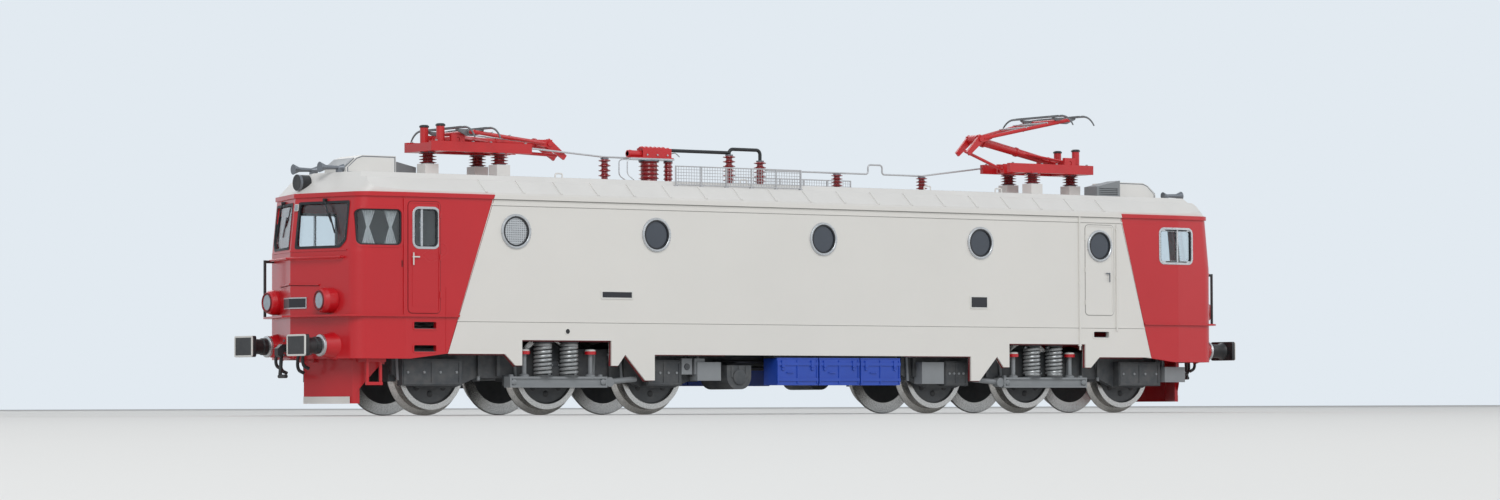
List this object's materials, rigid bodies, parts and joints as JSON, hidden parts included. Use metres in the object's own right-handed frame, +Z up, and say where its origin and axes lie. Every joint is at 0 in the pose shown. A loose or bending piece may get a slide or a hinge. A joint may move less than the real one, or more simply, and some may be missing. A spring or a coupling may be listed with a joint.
{
  "type": "scale model electric locomotive",
  "caption": "Scale model of a red and white electric locomotive with turning bogies and wheels and two folding single-arm pantographs on its roof.",
  "frame": {"origin": "middle of the model on the plane that the wheel flanges stand on", "axes": "+X along the model to its second end, the right end in the picture, +Y across it away from the picture's near side, +Z up"},
  "size_m": [0.2276, 0.0354, 0.0625],
  "materials": {
    "red_paint": "satin red lacquer",
    "white_paint": "satin off-white lacquer",
    "blue_paint": "satin blue lacquer",
    "dark_plastic": "dark grey moulding",
    "black_plastic": "black moulding",
    "grey_plastic": "grey moulding",
    "spring_grey": "grey springs",
    "wheel_metal": "turned wheels with dark discs",
    "glass": "clear glazing",
    "dark_glass": "dark glazing",
    "lens": "clear lens",
    "silver": "silver paint",
    "insulator_red": "brown-red ribbed moulding",
    "pantograph_red": "satin red lacquer",
    "contact_grey": "grey contact strips",
    "cable_black": "black cable",
    "wire_grey": "thin grey wire",
    "interior_grey": "cab moulding",
    "weight_metal": "plain weight"
  },
  "bodies": {
    "root": {"battery_boxes": "blue_paint", "buffers_1": "black_plastic", "buffers_2": "black_plastic", "bus_cables": "cable_black", "cab_glass_1": "glass", "cab_glass_2": "glass", "cab_interior_1": "interior_grey", "cab_interior_2": "interior_grey", "cab_shell_1": "red_paint", "cab_shell_2": "red_paint", "corner_rail_1": "black_plastic", "corner_rail_2": "black_plastic", "coupling_1": "black_plastic", "coupling_2": "black_plastic", "headlamp_lenses": "lens", "horns": "silver", "main_switch": "pantograph_red", "mesh_fences": "wire_grey", "motor_and_weight": "weight_metal", "pantograph_base_1": "pantograph_red", "pantograph_base_2": "pantograph_red", "plough_1": "red_paint", "plough_2": "red_paint", "porthole_panes": "dark_glass", "porthole_rings": "silver", "roof": "white_paint", "roof_boxes": "white_paint", "roof_insulators": "insulator_red", "roof_lamps": "black_plastic", "roof_louvres": "silver", "roof_wires": "wire_grey", "side_grilles": "silver", "side_wall_far": "white_paint", "side_wall_near": "white_paint", "tanks": "dark_plastic", "underframe": "dark_plastic"},
    "bogie_1": {"bogie_frame_1": "dark_plastic", "bogie_gear_1": "grey_plastic", "bogie_springs_1": "spring_grey"},
    "lower_arm_1": {"pantograph_lower_arm_1": "pantograph_red"},
    "upper_arm_1": {"pantograph_upper_arm_1": "pantograph_red"},
    "head_1": {"pantograph_head_1": "contact_grey"},
    "rod_1": {"pantograph_rod_1": "pantograph_red"},
    "bogie_2": {"bogie_frame_2": "dark_plastic", "bogie_gear_2": "grey_plastic", "bogie_springs_2": "spring_grey"},
    "lower_arm_2": {"pantograph_lower_arm_2": "pantograph_red"},
    "upper_arm_2": {"pantograph_upper_arm_2": "pantograph_red"},
    "head_2": {"pantograph_head_2": "contact_grey"},
    "rod_2": {"pantograph_rod_2": "pantograph_red"},
    "axle_1": {"wheelset_1": "wheel_metal"},
    "axle_2": {"wheelset_2": "wheel_metal"},
    "axle_3": {"wheelset_3": "wheel_metal"},
    "axle_4": {"wheelset_4": "wheel_metal"},
    "axle_5": {"wheelset_5": "wheel_metal"},
    "axle_6": {"wheelset_6": "wheel_metal"}
  },
  "joints": [
    {"name": "bogie_1_swivel", "type": "hinge", "parent": "root", "child": "bogie_1", "pos_m": [-0.0589, 0, 0.0115], "axis": [0, 0, 1], "range_deg": [-2.5, 2.5]},
    {"name": "bogie_2_swivel", "type": "hinge", "parent": "root", "child": "bogie_2", "pos_m": [0.0589, 0, 0.0115], "axis": [0, 0, 1], "range_deg": [-2.5, 2.5]},
    {"name": "wheelset_1_spin", "type": "hinge", "parent": "bogie_1", "child": "axle_1", "pos_m": [-0.08476, 0, 0.00818], "axis": [0, 1, 0], "continuous": true},
    {"name": "wheelset_2_spin", "type": "hinge", "parent": "bogie_1", "child": "axle_2", "pos_m": [-0.0589, 0, 0.00818], "axis": [0, 1, 0], "continuous": true},
    {"name": "wheelset_3_spin", "type": "hinge", "parent": "bogie_1", "child": "axle_3", "pos_m": [-0.03476, 0, 0.00818], "axis": [0, 1, 0], "continuous": true},
    {"name": "wheelset_4_spin", "type": "hinge", "parent": "bogie_2", "child": "axle_4", "pos_m": [0.03476, 0, 0.00818], "axis": [0, 1, 0], "continuous": true},
    {"name": "wheelset_5_spin", "type": "hinge", "parent": "bogie_2", "child": "axle_5", "pos_m": [0.0589, 0, 0.00818], "axis": [0, 1, 0], "continuous": true},
    {"name": "wheelset_6_spin", "type": "hinge", "parent": "bogie_2", "child": "axle_6", "pos_m": [0.08476, 0, 0.00818], "axis": [0, 1, 0], "continuous": true},
    {"name": "pantograph_1_lift", "type": "hinge", "parent": "root", "child": "lower_arm_1", "pos_m": [-0.0755, 0, 0.0526], "axis": [0, -1, 0], "range_deg": [0, 35]},
    {"name": "pantograph_1_knee", "type": "hinge", "parent": "lower_arm_1", "child": "upper_arm_1", "pos_m": [-0.05314, 0, 0.0526], "axis": [0, -1, 0], "range_deg": [-60.95, 0]},
    {"name": "pantograph_1_head_tilt", "type": "hinge", "parent": "upper_arm_1", "child": "head_1", "pos_m": [-0.07328, 0, 0.05401], "axis": [0, -1, 0], "range_deg": [0, 25.95]},
    {"name": "pantograph_1_rod_turn", "type": "hinge", "parent": "root", "child": "rod_1", "pos_m": [-0.0612, 0, 0.0509], "axis": [0, -1, 0], "range_deg": [0, 65.5]},
    {"name": "pantograph_2_lift", "type": "hinge", "parent": "root", "child": "lower_arm_2", "pos_m": [0.0755, 0, 0.0526], "axis": [0, 1, 0], "range_deg": [-11.6, 23.4]},
    {"name": "pantograph_2_knee", "type": "hinge", "parent": "lower_arm_2", "child": "upper_arm_2", "pos_m": [0.0536, 0, 0.0571], "axis": [0, 1, 0], "range_deg": [-40.77, 20.23]},
    {"name": "pantograph_2_head_tilt", "type": "hinge", "parent": "upper_arm_2", "child": "head_2", "pos_m": [0.0733, 0, 0.0615], "axis": [0, 1, 0], "range_deg": [-8.63, 17.37]},
    {"name": "pantograph_2_rod_turn", "type": "hinge", "parent": "root", "child": "rod_2", "pos_m": [0.0612, 0, 0.0509], "axis": [0, 1, 0], "range_deg": [-21.74, 43.81]}
  ],
  "couplings": [
    {"joint": "pantograph_1_knee", "follows": "pantograph_1_lift", "ratio": -1.74},
    {"joint": "pantograph_1_head_tilt", "follows": "pantograph_1_lift", "ratio": 0.74},
    {"joint": "pantograph_1_rod_turn", "follows": "pantograph_1_lift", "ratio": 1.87},
    {"joint": "pantograph_2_knee", "follows": "pantograph_2_lift", "ratio": -1.74},
    {"joint": "pantograph_2_head_tilt", "follows": "pantograph_2_lift", "ratio": 0.74},
    {"joint": "pantograph_2_rod_turn", "follows": "pantograph_2_lift", "ratio": 1.87}
  ]
}
